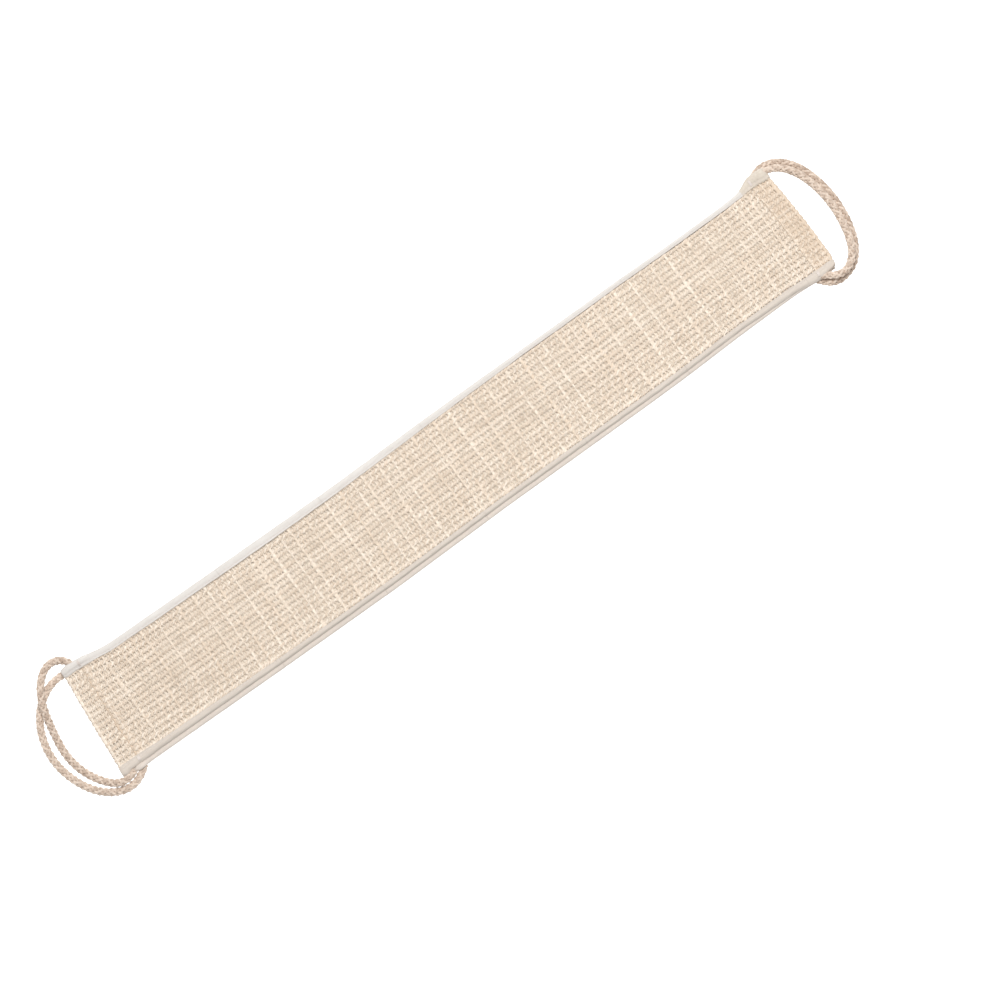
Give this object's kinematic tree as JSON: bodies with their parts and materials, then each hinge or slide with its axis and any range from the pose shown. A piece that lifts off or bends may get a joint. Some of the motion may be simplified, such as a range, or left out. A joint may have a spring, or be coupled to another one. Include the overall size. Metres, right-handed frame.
{
  "type": "back scrubber strap",
  "caption": "Long flexible bath strap for scrubbing the back: coarse woven front, soft cloth back, bound edges, and a doubled rope loop at each end for the hands.",
  "frame": {"origin": "centre of the strap's underside", "axes": "+X along the strap towards the right-hand end, +Y across it towards the edge where the front and back are flush, +Z out of the woven front"},
  "size_m": [0.7614, 0.1237, 0.0127],
  "materials": {
    "sisal_mesh": "coarse open weave of undyed plant fibre, matt",
    "back_cloth": "cream cotton terry, soft and matt",
    "binding": "off-white cotton tape, folded and machine stitched",
    "rope": "tan plied cotton cord, matt",
    "thread": "off-white sewing thread in dense bars"
  },
  "bodies": {
    "strap_1": {"front_mesh_1": "sisal_mesh", "back_cloth_1": "back_cloth", "upper_binding_1": "binding", "lower_binding_1": "binding", "left_upper_corner_tab": "binding", "left_upper_bartack": "thread", "left_lower_corner_tab": "binding", "left_lower_bartack": "thread", "left_front_rope_upper_end": "rope", "left_front_rope_lower_end": "rope", "left_back_rope_upper_end": "rope", "left_back_rope_lower_end": "rope"},
    "strap_2": {"front_mesh_2": "sisal_mesh", "back_cloth_2": "back_cloth", "upper_binding_2": "binding", "lower_binding_2": "binding"},
    "strap_3": {"front_mesh_3": "sisal_mesh", "back_cloth_3": "back_cloth", "upper_binding_3": "binding", "lower_binding_3": "binding"},
    "strap_4": {"front_mesh_4": "sisal_mesh", "back_cloth_4": "back_cloth", "upper_binding_4": "binding", "lower_binding_4": "binding"},
    "strap_5": {"front_mesh_5": "sisal_mesh", "back_cloth_5": "back_cloth", "upper_binding_5": "binding", "lower_binding_5": "binding"},
    "strap_6": {"front_mesh_6": "sisal_mesh", "back_cloth_6": "back_cloth", "upper_binding_6": "binding", "lower_binding_6": "binding"},
    "strap_7": {"front_mesh_7": "sisal_mesh", "back_cloth_7": "back_cloth", "upper_binding_7": "binding", "lower_binding_7": "binding", "right_upper_corner_tab": "binding", "right_upper_bartack": "thread", "right_lower_corner_tab": "binding", "right_lower_bartack": "thread", "right_front_rope_upper_end": "rope", "right_front_rope_lower_end": "rope", "right_back_rope_upper_end": "rope", "right_back_rope_lower_end": "rope"},
    "left_handle": {"left_front_rope_loop": "rope", "left_back_rope_loop": "rope"},
    "right_handle": {"right_front_rope_loop": "rope", "right_back_rope_loop": "rope"}
  },
  "joints": [
    {"name": "bend_1", "type": "hinge", "parent": "strap_2", "child": "strap_1", "pos_m": [-0.24464, 0, 0.0039], "axis": [0, 1, 0], "range_deg": [-30, 30]},
    {"name": "bend_2", "type": "hinge", "parent": "strap_3", "child": "strap_2", "pos_m": [-0.14679, 0, 0.0039], "axis": [0, 1, 0], "range_deg": [-30, 30]},
    {"name": "bend_3", "type": "hinge", "parent": "strap_4", "child": "strap_3", "pos_m": [-0.04893, 0, 0.0039], "axis": [0, 1, 0], "range_deg": [-30, 30]},
    {"name": "bend_4", "type": "hinge", "parent": "strap_4", "child": "strap_5", "pos_m": [0.04893, 0, 0.0039], "axis": [0, -1, 0], "range_deg": [-30, 30]},
    {"name": "bend_5", "type": "hinge", "parent": "strap_5", "child": "strap_6", "pos_m": [0.14679, 0, 0.0039], "axis": [0, -1, 0], "range_deg": [-30, 30]},
    {"name": "bend_6", "type": "hinge", "parent": "strap_6", "child": "strap_7", "pos_m": [0.24464, 0, 0.0039], "axis": [0, -1, 0], "range_deg": [-30, 30]},
    {"name": "left_handle_swing", "type": "hinge", "parent": "strap_1", "child": "left_handle", "pos_m": [-0.349, 0, 0.00605], "axis": [0, 1, 0], "range_deg": [-90, 90]},
    {"name": "right_handle_swing", "type": "hinge", "parent": "strap_7", "child": "right_handle", "pos_m": [0.349, 0, 0.00605], "axis": [0, -1, 0], "range_deg": [-90, 90]}
  ]
}
